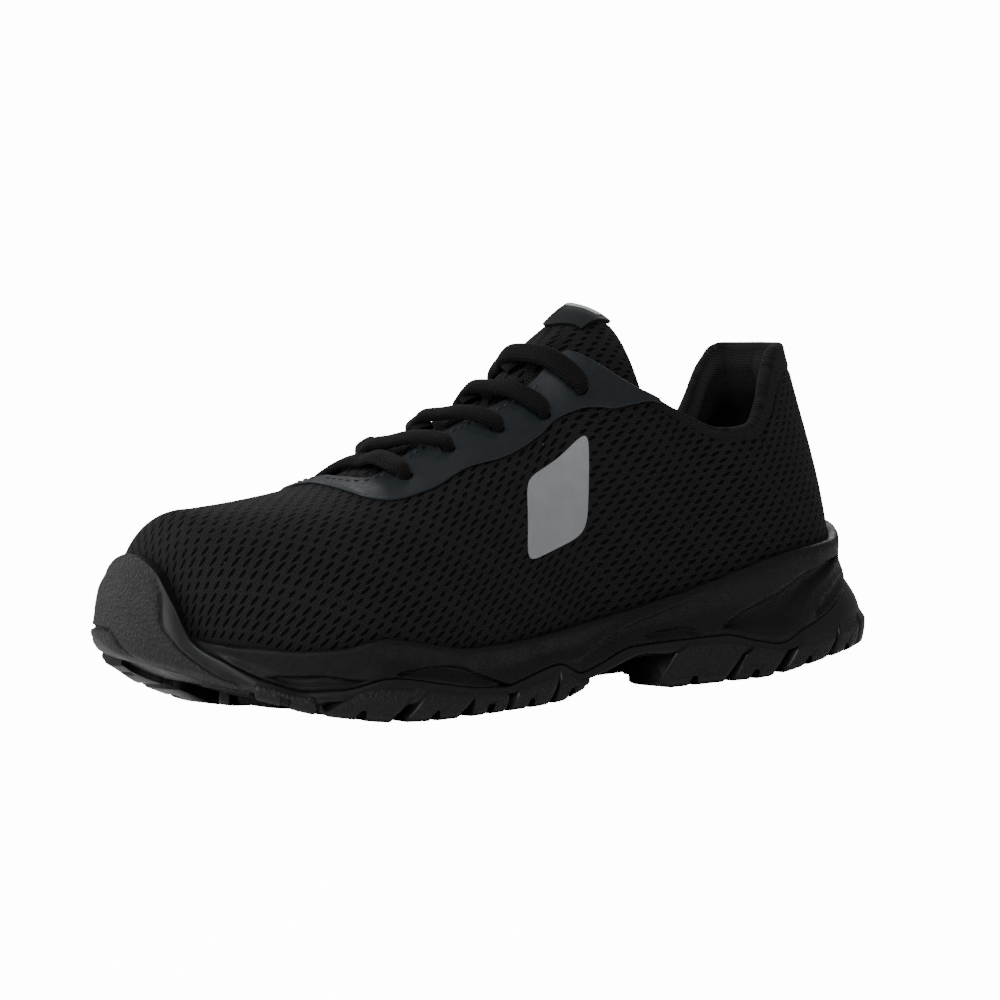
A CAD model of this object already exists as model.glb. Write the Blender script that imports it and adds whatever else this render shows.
"""Looks of the safety sneaker for the left foot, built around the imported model.

The surfaces are the same functions of the named sizes as in the model's own
source, drawn with more points, so that each piece lies where its solid is.
+X points to the toe, +Y to the shoe's outer side, +Z up. Lengths are in metres.
"""
from collections import namedtuple

import bpy
import numpy as np
from mathutils import Matrix, Vector
from mathutils.kdtree import KDTree


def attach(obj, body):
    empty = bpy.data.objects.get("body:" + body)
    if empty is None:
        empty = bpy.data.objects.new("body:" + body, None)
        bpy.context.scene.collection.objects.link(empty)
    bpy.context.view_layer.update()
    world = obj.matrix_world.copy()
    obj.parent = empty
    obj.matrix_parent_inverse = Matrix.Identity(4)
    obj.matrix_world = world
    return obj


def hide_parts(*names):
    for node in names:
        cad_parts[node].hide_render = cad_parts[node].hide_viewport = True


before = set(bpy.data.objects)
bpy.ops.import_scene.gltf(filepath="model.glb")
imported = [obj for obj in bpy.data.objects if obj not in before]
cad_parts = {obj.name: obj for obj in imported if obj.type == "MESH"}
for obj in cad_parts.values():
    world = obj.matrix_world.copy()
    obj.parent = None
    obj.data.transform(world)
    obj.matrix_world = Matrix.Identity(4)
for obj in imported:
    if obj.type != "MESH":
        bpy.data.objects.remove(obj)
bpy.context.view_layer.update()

MM = 0.001

# Driving dimensions
SOLE_LENGTH = 300.0 * MM
BALL_WIDTH = 108.0 * MM
HEEL_STACK = 43.0 * MM
TOE_SPRING = 22.0 * MM
TREAD_DEPTH = 5.0 * MM
TOE_BOX_HEIGHT = 69.3 * MM
INSTEP_HEIGHT = 106.0 * MM
HEEL_TAB_HEIGHT = 113.0 * MM
ANKLE_HEIGHT = 85.0 * MM
TONGUE_HEIGHT = 133.0 * MM
BUMPER_HEIGHT = 56.0 * MM
UPPER_WALL = 2.4 * MM
COLLAR_PAD = 5.5 * MM
THROAT_WIDTH = 28.0 * MM
EYESTAY_THICKNESS = 0.8 * MM
EYELET_RADIUS = 2.4 * MM
EYELET_MARGIN = 9.0 * MM
TONGUE_WIDTH = 53.0 * MM
TONGUE_THICKNESS = 6.0 * MM
LABEL_WIDTH = 30.0 * MM
LABEL_THICKNESS = 1.0 * MM
INSOLE_THICKNESS = 4.5 * MM
OUTSOLE_BASE = 2.0 * MM
OUTSOLE_BAND = 2.2 * MM
TOE_FLOOR = 26.5 * MM
TOE_ROLL = 7.0 * MM
LUG_PROUD = 0.9 * MM
LUG_REACH = 17.0 * MM
LACE_WIDTH = 6.5 * MM
LACE_THICKNESS = 3.4 * MM
FIT_GAP = 0.3 * MM

# The ring runs from the heel (station 0) along the outer side to the toe
# (station 11) and back along the inner side. One row for each section: its
# plan outline on both sides, how far the upper stands inside it, the height of
# the cup floor, the point that it rises to, and the handles that bend it.
Section = namedtuple(
    "Section",
    "outer_x outer_y inner_x inner_y inset floor top_x top_y top_half top_z"
    " rise flare reach inner_reach drop",
)
SECTIONS = [
    Section(0.000, 0.000, 0.000, 0.000, 0.110, 0.65, 0.103, 0.000, 0.000,
            1.03 * HEEL_TAB_HEIGHT, 0.36, 0.020, 0.35, 0.35, 0.30),
    Section(0.028, 0.220, 0.028, -0.220, 0.106, 0.65, 0.118, 0.000, 0.135,
            1.03 * HEEL_TAB_HEIGHT, 0.36, 0.016, 0.30, 0.30, 0.30),
    Section(0.100, 0.335, 0.100, -0.320, 0.080, 0.64, 0.165, 0.000, 0.225,
            1.02 * HEEL_TAB_HEIGHT, 0.36, 0.012, 0.10, 0.10, 0.30),
    Section(0.220, 0.365, 0.220, -0.330, 0.062, 0.60, 0.250, 0.000, 0.265,
            1.04 * HEEL_TAB_HEIGHT, 0.36, 0.012, 0.10, 0.10, 0.30),
    Section(0.360, 0.355, 0.360, -0.295, 0.057, 0.53, 0.385, -0.015, 0.000,
            1.00 * TONGUE_HEIGHT, 0.42, 0.010, 0.90, 0.90, 0.04),
    Section(0.500, 0.395, 0.490, -0.300, 0.057, 0.43, 0.505, -0.020, 0.000,
            0.99 * INSTEP_HEIGHT, 0.52, 0.008, 0.78, 0.66, 0.01),
    Section(0.620, 0.460, 0.620, -0.385, 0.057, 0.36, 0.620, -0.030, 0.000,
            0.84 * INSTEP_HEIGHT, 0.58, 0.008, 0.80, 0.55, 0.00),
    Section(0.720, 0.495, 0.740, -0.475, 0.057, 0.35, 0.712, -0.045, 0.000,
            0.73 * INSTEP_HEIGHT, 0.60, 0.008, 0.84, 0.56, 0.00),
    Section(0.820, 0.465, 0.840, -0.490, 0.059, 0.41, 0.795, -0.060, 0.000,
            1.04 * TOE_BOX_HEIGHT, 0.62, 0.008, 0.80, 0.72, 0.00),
    Section(0.910, 0.345, 0.930, -0.425, 0.066, 0.54, 0.862, -0.070, 0.000,
            1.01 * TOE_BOX_HEIGHT, 0.62, 0.006, 0.72, 0.72, 0.00),
    Section(0.975, 0.150, 0.985, -0.290, 0.070, 0.68, 0.903, -0.075, 0.000,
            1.00 * TOE_BOX_HEIGHT, 0.62, 0.005, 0.66, 0.66, 0.00),
    Section(1.000, -0.080, 1.000, -0.080, 0.072, 0.72, 0.914, -0.078, 0.000,
            1.00 * TOE_BOX_HEIGHT, 0.62, 0.005, 0.66, 0.66, 0.00),
]
TOE = len(SECTIONS) - 1
RING = 2 * TOE

# The side of the sole, one row for each turn of its lines: the tread and the
# depth of its lugs, the outsole's upper line and the midsole's rim, and how
# far both lean in.
Side = namedtuple("Side", "station tread depth line rim line_inset rim_inset")
SIDES = [
    Side(0.00, 0.41, 1.20, 0.77 * HEEL_STACK, 1.19, 0.060, 0.080),
    Side(1.00, 0.34, 1.20, 0.70 * HEEL_STACK, 1.10, 0.055, 0.075),
    Side(1.60, 0.28, 1.20, 0.60 * HEEL_STACK, 1.03, 0.040, 0.064),
    Side(2.05, 0.22, 1.15, 0.47 * HEEL_STACK, 1.01, 0.026, 0.052),
    Side(2.55, 0.11, 1.25, 0.34 * HEEL_STACK, 0.98, 0.014, 0.040),
    Side(2.82, 0.04, 1.30, 0.26 * HEEL_STACK, 0.945, 0.008, 0.036),
    Side(3.10, 0.00, 1.40, 0.30 * HEEL_STACK, 0.885, 0.008, 0.033),
    Side(3.45, 0.00, 1.60, 0.37 * HEEL_STACK, 0.805, 0.009, 0.030),
    Side(4.00, 0.00, 2.10, 0.365 * HEEL_STACK, 0.695, 0.009, 0.028),
    Side(4.40, 0.30, 0.90, 0.355 * HEEL_STACK, 0.630, 0.009, 0.028),
    Side(4.80, 0.22, 0.42, 0.245 * HEEL_STACK, 0.580, 0.009, 0.028),
    Side(5.00, 0.14, 0.42, 0.205 * HEEL_STACK, 0.560, 0.009, 0.028),
    Side(5.28, 0.02, 0.95, 0.295 * HEEL_STACK, 0.530, 0.009, 0.028),
    Side(5.75, 0.00, 0.95, 0.225 * HEEL_STACK, 0.500, 0.009, 0.028),
    Side(6.03, 0.00, 0.90, 0.187 * HEEL_STACK, 0.495, 0.009, 0.028),
    Side(6.50, 0.00, 0.95, 0.207 * HEEL_STACK, 0.495, 0.009, 0.028),
    Side(7.00, 0.00, 0.95, 0.265 * HEEL_STACK, 0.545, 0.009, 0.028),
    Side(7.70, 0.04, 0.95, 0.342 * HEEL_STACK, 0.625, 0.009, 0.028),
    Side(8.20, 0.14, 0.85, 0.286 * HEEL_STACK, 0.575, 0.009, 0.028),
    Side(8.60, 0.24, 0.65, 0.285 * HEEL_STACK, 0.572, 0.009, 0.028),
    Side(9.04, 0.42, 0.60, 0.367 * HEEL_STACK, 0.602, 0.010, 0.028),
    Side(9.50, 0.58, 0.25, 0.400 * BUMPER_HEIGHT, 0.635, 0.012, 0.028),
    Side(9.88, 0.70, 0.15, 0.510 * BUMPER_HEIGHT, 0.680, 0.014, 0.029),
    Side(10.15, 0.77, 0.12, 0.725 * BUMPER_HEIGHT, 0.720, 0.022, 0.030),
    Side(10.46, 0.85, 0.12, 0.910 * BUMPER_HEIGHT, 0.760, 0.034, 0.030),
    Side(10.75, 0.92, 0.12, 0.975 * BUMPER_HEIGHT, 0.790, 0.040, 0.030),
    Side(11.00, 1.00, 0.12, 1.000 * BUMPER_HEIGHT, 0.800, 0.042, 0.030),
]

# The collar's edge, from the heel tab down to the ankle and up to the throat.
Edge = namedtuple("Edge", "station height")
COLLAR = [
    Edge(0.00, 1.000 * HEEL_TAB_HEIGHT),
    Edge(1.20, 1.000 * HEEL_TAB_HEIGHT),
    Edge(1.66, 0.988 * HEEL_TAB_HEIGHT),
    Edge(1.99, 0.942 * HEEL_TAB_HEIGHT),
    Edge(2.38, 1.110 * ANKLE_HEIGHT),
    Edge(2.73, 1.006 * ANKLE_HEIGHT),
    Edge(2.95, 0.997 * ANKLE_HEIGHT),
    Edge(3.18, 1.003 * ANKLE_HEIGHT),
    Edge(3.45, 1.060 * ANKLE_HEIGHT),
    Edge(3.80, 1.143 * ANKLE_HEIGHT),
    Edge(4.10, 1.212 * ANKLE_HEIGHT),
    Edge(4.35, 1.304 * ANKLE_HEIGHT),
    Edge(4.70, 1.450 * ANKLE_HEIGHT),
    Edge(5.20, 1.700 * ANKLE_HEIGHT),
]
CORNER_ROUNDING = 0.04
COLLAR_SWEEP = 0.36

# How far the throat's edge is from the spine over the surface, as shares of the
# throat's width, from the ankle to its round front.
Opening = namedtuple("Opening", "station half")
THROAT = [
    Opening(3.60, 0.80),
    Opening(4.20, 0.715),
    Opening(4.75, 0.585),
    Opening(5.65, 0.49),
    Opening(6.30, 0.505),
    Opening(6.70, 0.60),
    Opening(6.95, 0.61),
    Opening(7.08, 0.52),
    Opening(7.14, 0.32),
    Opening(7.17, 0.00),
]
THROAT_FRONT = THROAT[-1].station

# The eyestay's lower edge, from its tail on the collar round the throat's front.
EYESTAY = [
    Edge(3.80, 0.912 * INSTEP_HEIGHT),
    Edge(3.96, 0.891 * INSTEP_HEIGHT),
    Edge(4.23, 0.893 * INSTEP_HEIGHT),
    Edge(4.50, 0.904 * INSTEP_HEIGHT),
    Edge(4.80, 0.876 * INSTEP_HEIGHT),
    Edge(5.03, 0.826 * INSTEP_HEIGHT),
    Edge(5.49, 0.766 * INSTEP_HEIGHT),
    Edge(5.92, 0.742 * INSTEP_HEIGHT),
    Edge(6.52, 0.682 * INSTEP_HEIGHT),
    Edge(7.07, 0.656 * INSTEP_HEIGHT),
    Edge(7.26, 0.663 * INSTEP_HEIGHT),
    Edge(7.38, 0.685 * INSTEP_HEIGHT),
    Edge(7.42, 0.715 * INSTEP_HEIGHT),
]
EYESTAY_BACK = EYESTAY[0].station
EYESTAY_FRONT = EYESTAY[-1].station

# The eyelets from the front back, and how far each is from the throat's edge.
Eyelet = namedtuple("Eyelet", "station margin")
EYELETS = [
    Eyelet(6.66, 1.00 * EYELET_MARGIN),
    Eyelet(6.00, 1.01 * EYELET_MARGIN),
    Eyelet(5.41, 1.11 * EYELET_MARGIN),
    Eyelet(4.92, 1.33 * EYELET_MARGIN),
    Eyelet(4.54, 1.63 * EYELET_MARGIN),
]

TONGUE_BACK = 4.00
TONGUE_FRONT = 7.60
TONGUE_SWEEP = 0.15
LABEL_BACK = 4.03
LABEL_FRONT = 4.40

# Side lugs, one row each, on both sides of the sole: the stretch that they
# stand on and how far their tops lean to the heel.
Lug = namedtuple("Lug", "back front lean")
LUGS = [
    Lug(0.62, 1.50, 0.05),
    Lug(1.62, 2.12, 0.12),
    Lug(2.24, 2.82, 0.25),
    Lug(2.94, 3.38, 0.22),
    Lug(3.46, 4.14, 0.30),
    Lug(5.00, 5.38, 0.06),
    Lug(5.46, 6.02, 0.12),
    Lug(6.10, 6.62, 0.02),
    Lug(6.80, 7.52, 0.30),
    Lug(7.68, 8.42, 0.34),
    Lug(8.54, 9.18, 0.00),
]

# Blocks between the side lugs: place and size as shares of sole length and ball width.
Block = namedtuple("Block", "x y length width")
BLOCKS = [
    Block(0.135, 0.010, 0.060, 0.26),
    Block(0.265, 0.010, 0.075, 0.28),
    Block(0.560, 0.030, 0.045, 0.22),
    Block(0.635, 0.140, 0.048, 0.18),
    Block(0.635, -0.090, 0.048, 0.18),
    Block(0.710, 0.150, 0.048, 0.20),
    Block(0.710, -0.130, 0.048, 0.20),
    Block(0.785, 0.140, 0.048, 0.20),
    Block(0.785, -0.160, 0.048, 0.20),
    Block(0.860, -0.020, 0.045, 0.30),
]


# Curves through the tables

def steady(stations, values, at):
    """A curve through the values that never swings past them."""
    stations = np.asarray(stations, float)
    values = np.asarray(values, float)
    gaps = np.diff(stations)
    steps = np.diff(values) / gaps
    slopes = np.zeros(len(values))
    slopes[0] = steps[0]
    slopes[-1] = steps[-1]
    for i in range(1, len(values) - 1):
        if steps[i - 1] * steps[i] > 0.0:
            before = 2.0 * gaps[i] + gaps[i - 1]
            after = gaps[i] + 2.0 * gaps[i - 1]
            slopes[i] = (before + after) / (before / steps[i - 1] + after / steps[i])
    at = np.clip(at, stations[0], stations[-1])
    i = np.clip(np.searchsorted(stations, at, side="right") - 1, 0, len(gaps) - 1)
    u = (at - stations[i]) / gaps[i]
    return (
        (2.0 * u**3 - 3.0 * u**2 + 1.0) * values[i]
        + (u**3 - 2.0 * u**2 + u) * gaps[i] * slopes[i]
        + (3.0 * u**2 - 2.0 * u**3) * values[i + 1]
        + (u**3 - u**2) * gaps[i] * slopes[i + 1]
    )


def ring_curve(values, at):
    """A smooth closed curve through the values, one for each unit of at."""
    values = np.asarray(values, float)
    count = len(values)
    weights = 4.0 * np.eye(count) + np.roll(np.eye(count), 1, 0) + np.roll(np.eye(count), -1, 0)
    slopes = np.linalg.solve(weights, 3.0 * (np.roll(values, -1, 0) - np.roll(values, 1, 0)))
    i = np.floor(at).astype(int) % count
    j = (i + 1) % count
    u = (at - np.floor(at))[..., None]
    return (
        (2.0 * u**3 - 3.0 * u**2 + 1.0) * values[i]
        + (u**3 - 2.0 * u**2 + u) * slopes[i]
        + (3.0 * u**2 - 2.0 * u**3) * values[j]
        + (u**3 - u**2) * slopes[j]
    )


def smooth_step(low, high, value):
    u = np.clip((value - low) / (high - low), 0.0, 1.0)
    return u * u * (3.0 - 2.0 * u)


def station(t):
    """How far a ring place is from the heel, the same on both sides."""
    t = np.asarray(t, float) % RING
    return np.minimum(t, RING - t)


def column(name, t):
    """A column of the sections' table at ring place t."""
    rows = [getattr(row, name) for row in SECTIONS]
    return steady(range(TOE + 1), rows, station(t))


def side(name, t):
    """A column of the sole's side table at ring place t."""
    stations = [row.station for row in SIDES]
    return steady(stations, [getattr(row, name) for row in SIDES], station(t))


def edge_height(rows, t):
    return steady([row.station for row in rows], [row.height for row in rows], station(t))


# The sole's outline and heights

def outline_knots():
    outer = [(row.outer_x, row.outer_y) for row in SECTIONS]
    inner = [(row.inner_x, row.inner_y) for row in SECTIONS[-2:0:-1]]
    return np.array(outer + inner) * (SOLE_LENGTH, BALL_WIDTH)


def outward(t):
    """The outline's outward direction in plan."""
    step = 0.001
    along = ring_curve(outline_knots(), t + step) - ring_curve(outline_knots(), t - step)
    along /= np.linalg.norm(along, axis=-1, keepdims=True)
    return np.stack([-along[..., 1], along[..., 0]], -1)


def outline(t, inset, height):
    """Points at a height above the sole's outline, moved in by the inset."""
    t = np.asarray(t, float)
    plan = ring_curve(outline_knots(), t) - outward(t) * np.asarray(inset)[..., None]
    return np.concatenate([plan, np.broadcast_to(height, t.shape)[..., None]], -1)


def toe_roll(t):
    """How much higher the sole's inner side curls up towards the toe than its outer side."""
    inner = np.asarray(t, float) % RING > TOE
    fade = 1.0 - smooth_step(10.0, 11.0, station(t))
    return TOE_ROLL * inner * smooth_step(7.4, 9.2, station(t)) * fade


def tread_height(t):
    return side("tread", t) * TOE_SPRING + toe_roll(t)


def line_height(t):
    """The outsole's upper line, which climbs to the bumper at the toe."""
    return side("line", t) + toe_roll(t) * (1.0 - smooth_step(9.5, 10.3, station(t)))


def base_height(t):
    """Underside of the outsole between its lugs."""
    return tread_height(t) + side("depth", t) * TREAD_DEPTH


def cup_height(t):
    """Floor inside the outsole, which carries the midsole and is level at the toe."""
    floor = base_height(t) + OUTSOLE_BASE
    return floor + smooth_step(9.3, 10.3, station(t)) * (TOE_FLOOR - floor)


def rim_height(t):
    return side("rim", t) * HEEL_STACK + 0.2 * toe_roll(t)


def footbed_height(t):
    """Floor inside the midsole, which carries the upper and the insole."""
    return column("floor", t) * HEEL_STACK


# The upper's surface, which every piece above the sole follows

def section_handles(t):
    """Four points that bend the section at ring place t, from the cup floor up."""
    t = np.asarray(t, float)
    sign = np.where(t % RING < TOE, 1.0, -1.0)
    foot = outline(t, column("inset", t) * BALL_WIDTH, footbed_height(t) + FIT_GAP)
    top = np.stack(
        [
            column("top_x", t) * SOLE_LENGTH,
            (column("top_y", t) + sign * column("top_half", t)) * BALL_WIDTH,
            column("top_z", t),
        ],
        -1,
    )
    tall = top[..., 2] - foot[..., 2]
    low = foot.copy()
    low[..., :2] += outward(t) * (column("flare", t) * BALL_WIDTH)[..., None]
    low[..., 2] += column("rise", t) * tall
    reach = np.where(t % RING < TOE, column("reach", t), column("inner_reach", t))
    wide = (foot - top)[..., :2] * reach[..., None]
    high = top.copy()
    high[..., :2] += wide
    high[..., 2] += spine_slope(t) * wide[..., 0] - column("drop", t) * tall
    return foot, low, high, top


def spine_slope(t):
    """Rise of the shoe's middle line towards the toe, where the two sides meet on it."""
    step = 0.02
    near = np.clip(station(t), 4.0, TOE - step)
    rise = column("top_z", near + step) - column("top_z", near)
    run = (column("top_x", near + step) - column("top_x", near)) * SOLE_LENGTH
    return smooth_step(4.0, 4.8, station(t)) * rise / run


def upper_point(t, v):
    foot, low, high, top = section_handles(t)
    v = np.asarray(v, float)[..., None]
    u = 1.0 - v
    return u**3 * foot + 3.0 * u**2 * v * low + 3.0 * u * v**2 * high + v**3 * top


def upper_normal(t, v):
    step = 0.001
    v = np.minimum(v, 0.98)
    along = upper_point(t + step, v) - upper_point(t - step, v)
    up = upper_point(t, v + step) - upper_point(t, v - step)
    normal = np.cross(up, along)
    return normal / np.linalg.norm(normal, axis=-1, keepdims=True)


def on_upper(t, v, offset):
    """Points at an offset outside the upper's outer face, or inside it if negative."""
    t = np.asarray(t, float)
    normal = upper_normal(t, v)
    on_spine = (np.asarray(v) > 0.999) & (column("top_half", t) < 1e-6)
    mirrored = upper_normal(RING - t, v)
    middle = normal + mirrored
    middle /= np.linalg.norm(middle, axis=-1, keepdims=True)
    normal = np.where(on_spine[..., None], middle, normal)
    return upper_point(t, v) + normal * np.asarray(offset)[..., None]


def share_at_height(t, height, lowest=0.25, highest=1.0):
    """The share of each section at a height, found by halving."""
    low = np.full(np.shape(t), lowest)
    high = np.full(np.shape(t), highest)
    for _ in range(30):
        middle = 0.5 * (low + high)
        passed = upper_point(t, middle)[..., 2] >= height
        high = np.where(passed, middle, high)
        low = np.where(passed, low, middle)
    return high


def share_at_distance(t, distance):
    """The share of each section at a length down its surface from the spine."""
    shares = np.linspace(1.0, 0.2, 161)
    points = upper_point(np.asarray(t)[None, :], shares[:, None] + 0.0 * t)
    steps = np.linalg.norm(np.diff(points, axis=0), axis=-1)
    lengths = np.concatenate([np.zeros((1, len(t))), np.cumsum(steps, axis=0)])
    return np.array([np.interp(d, lengths[:, i], shares) for i, d in enumerate(distance)])


def throat_half(t):
    stations = [row.station for row in THROAT]
    return THROAT_WIDTH * steady(stations, [row.half for row in THROAT], station(t))


def collar_height(t):
    """The collar's edge, which climbs to the heel further back on the inner side."""
    inner = np.asarray(t, float) % RING > TOE
    stretch = smooth_step(0.9, 1.6, station(t)) * (1.0 - smooth_step(2.6, 3.4, station(t)))
    return edge_height(COLLAR, station(t) + COLLAR_SWEEP * inner * stretch)


def top_share(t):
    """Where the upper ends: at the collar's edge, or at the throat's."""
    t = np.asarray(t, float)
    collar = share_at_height(t, collar_height(t))
    collar = np.where(station(t) >= COLLAR[-1].station, 1.0, collar)
    throat = share_at_distance(t, throat_half(t))
    throat = np.where(station(t) <= THROAT[0].station, 1.0, throat)
    apart = np.sqrt((collar - throat) ** 2 + CORNER_ROUNDING**2)
    rounded = 0.5 * (collar + throat - apart)
    return np.where(station(t) >= THROAT_FRONT, 1.0, rounded)


def eyestay_share(t):
    """Where the eyestay's lower edge crosses each section."""
    share = share_at_height(t, edge_height(EYESTAY, t))
    return np.minimum(share, top_share(t))


def split_share(t):
    """The row of the upper's faces that follows the eyestay's lower edge."""
    return np.minimum(eyestay_share(t), top_share(t) - 0.10)


# Pieces' shared measures

def rows_between(low, high, count):
    return [list(np.linspace(a, b, count + 1)) for a, b in zip(low, high)]


def station_at(x):
    """The station on the outer side at a distance from the heel."""
    stations = np.linspace(0.0, float(TOE), 400)
    return np.interp(x, ring_curve(outline_knots(), stations)[:, 0], stations)


def foot_inset(t):
    """How far the underside's edge stands in, most where toe and heel are rounded."""
    toe = smooth_step(8.9, 10.3, station(t))
    heel = 1.0 - smooth_step(0.4, 1.8, station(t))
    return (0.028 + 0.075 * toe + 0.030 * heel) * BALL_WIDTH


def band_low(t):
    """Inner face of the outsole's band beside the midsole."""
    return np.minimum(side("line_inset", t), side("rim_inset", t)) * BALL_WIDTH + OUTSOLE_BAND


def floor_edge(t):
    """Edge of the cup's floor, which follows the underside where the toe curls up."""
    return np.maximum(band_low(t) + 1.0 * MM, foot_inset(t))


def curl_height(t):
    return 0.5 * (floor_edge(t) - band_low(t))


def tread_block(row):
    """A tapered block under the middle of the sole."""
    points = []
    for level in (0, 1):
        shrink = 0.85 if level == 0 else 1.0
        for along, across in ((-1, -1), (1, -1), (1, 1), (-1, 1)):
            x = (row.x + 0.5 * along * shrink * row.length) * SOLE_LENGTH
            y = (row.y + 0.5 * across * shrink * row.width) * BALL_WIDTH
            place = station_at(x)
            both = np.array([place, RING - place])
            heights = tread_height(both) if level == 0 else base_height(both) + 0.5 * OUTSOLE_BASE
            inner_share = 0.5 - y / BALL_WIDTH
            points.append((x, y, heights[0] + inner_share * (heights[1] - heights[0])))
    faces = [(0, 3, 2, 1), (4, 5, 6, 7), (0, 1, 5, 4), (1, 2, 6, 5), (2, 3, 7, 6), (3, 0, 4, 7)]
    return points, faces


def wall_thickness(t, v, top):
    """The upper's wall, padded round the collar."""
    reach = (top - v) * column("top_z", t)
    padded = 1.0 - smooth_step(2.6, 3.5, station(t))
    swell = 0.45 + 0.55 * smooth_step(0.0, 8.0 * MM, reach)
    swell *= 1.0 - smooth_step(16.0 * MM, 42.0 * MM, reach)
    return UPPER_WALL + COLLAR_PAD * padded * swell


def eyelet_places():
    """Stations of the eyelets and their distances from the spine."""
    t = np.array([row.station for row in EYELETS])
    margin = np.array([row.margin for row in EYELETS])
    return t, throat_half(t) + margin


def tongue_share(t):
    """Where the tongue's side edge crosses each section."""
    taper = 1.0 - 0.6 * smooth_step(THROAT_FRONT, TONGUE_FRONT, station(t))
    spread = 1.36 - 0.36 * smooth_step(TONGUE_BACK, EYELETS[1].station, station(t))
    return share_at_distance(t, 0.5 * TONGUE_WIDTH * taper * spread)


TONGUE_DEPTH = UPPER_WALL + 5.5 * FIT_GAP


def swept(t, v):
    """Ring places moved to the heel down the tongue's sides, so that its rows run square to it."""
    down = smooth_step(0.0, 0.5, (1.0 - v) / (1.0 - tongue_share(t)))
    fade = 1.0 - smooth_step(4.6, 5.8, station(t))
    sign = np.where(t % RING < TOE, 1.0, -1.0)
    return t - sign * TONGUE_SWEEP * fade * down


# Heights of the lace's middle over the upper's outer face
LACE_LOW = 5.0 * FIT_GAP + 0.5 * LACE_THICKNESS - TONGUE_DEPTH
LACE_HIGH = EYESTAY_THICKNESS + 3.5 * FIT_GAP + 0.5 * LACE_THICKNESS

# From the heel's back, where the tables start, to the model's origin
ORIGIN = np.array([149.704, 0.083, 0.0]) * MM


# Points and meshes

def cumulative(points):
    """Length along a row of points, from its first."""
    steps = np.linalg.norm(np.diff(points, axis=0), axis=-1)
    return np.concatenate([np.zeros((1,) + steps.shape[1:]), np.cumsum(steps, axis=0)])


def evenly(stations, points, spacing):
    """Stations in even steps of length along the points."""
    length = cumulative(points)
    count = int(np.ceil(length[-1] / spacing))
    return np.interp(np.linspace(0.0, length[-1], count + 1), length, stations)


def stations_between(back, front, spacing):
    """Stations in even steps over the sole's outer side, with both ends."""
    fine = np.linspace(back, front, 600)
    return evenly(fine, outline(fine, 0.0, 0.0), spacing)


# Behind this station the cloth runs level round the heel, before it from the middle line
QUARTER_BACK = 4.4
QUARTER_FRONT = 5.4


def fabric_place(t, v):
    """Places in the cloth as if it were laid flat, with the length down from the middle line."""
    order, first = np.unique(t, return_inverse=True)
    shares = np.linspace(1.0, 0.0, 61)
    points = upper_point(order[None, :], shares[:, None] + 0.0 * order)
    lengths = cumulative(points)
    top = points[0]
    away = (points[-1] - top)[:, :2]
    away /= np.linalg.norm(away, axis=1, keepdims=True)
    down = np.empty(len(t))
    for i in range(len(order)):
        here = first == i
        down[here] = np.interp(1.0 - v[here], 1.0 - shares, lengths[:, i])
    front = top[first][:, :2] + away[first] * down[:, None]
    fine = np.linspace(0.0, QUARTER_FRONT, 300)
    ring = cumulative(outline(fine, 0.0, 0.0))
    middle = np.array([0.5 * (QUARTER_BACK + QUARTER_FRONT)])
    start = upper_point(middle, np.array([1.0]))[0]
    column_points = upper_point(0.0 * shares + middle, shares)
    reach = cumulative(column_points)[-1]
    s = station(t)
    level = start[0] + np.interp(s, fine, ring) - np.interp(middle[0], fine, ring)
    half = np.where(t <= TOE, 1.0, -1.0)
    deep = half * (start[1] + reach - (lengths[-1][first] - down))
    ahead = smooth_step(QUARTER_BACK, QUARTER_FRONT, s)[:, None]
    flat = ahead * front + (1.0 - ahead) * np.stack([level, deep], -1)
    return np.concatenate([flat, down[:, None]], axis=1)


def make_object(name, points, faces, materials, face_materials=None, smooth_angle=40.0):
    mesh = bpy.data.meshes.new(name)
    mesh.from_pydata(np.asarray(points) - ORIGIN, [], faces)
    for material in materials:
        mesh.materials.append(material)
    if face_materials is not None:
        mesh.polygons.foreach_set("material_index", np.asarray(face_materials, dtype=np.int32))
    mesh.shade_smooth()
    mesh.set_sharp_from_angle(angle=np.radians(smooth_angle))
    thing = bpy.data.objects.new(name, mesh)
    bpy.context.scene.collection.objects.link(thing)
    return thing


def below_edge(t, v):
    """How far down the cloth a place lies from the collar's or the throat's edge."""
    return fabric_place(t, v)[:, 2] - fabric_place(t, top_share(t))[:, 2]


def store(thing, name, values):
    """Keeps a vector for each point, which the materials read."""
    values = np.asarray(values, float)
    kind = "FLOAT_VECTOR" if values.ndim == 2 else "FLOAT"
    attribute = thing.data.attributes.new(name, kind, "POINT")
    attribute.data.foreach_set("vector" if values.ndim == 2 else "value", values.ravel())


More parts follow.
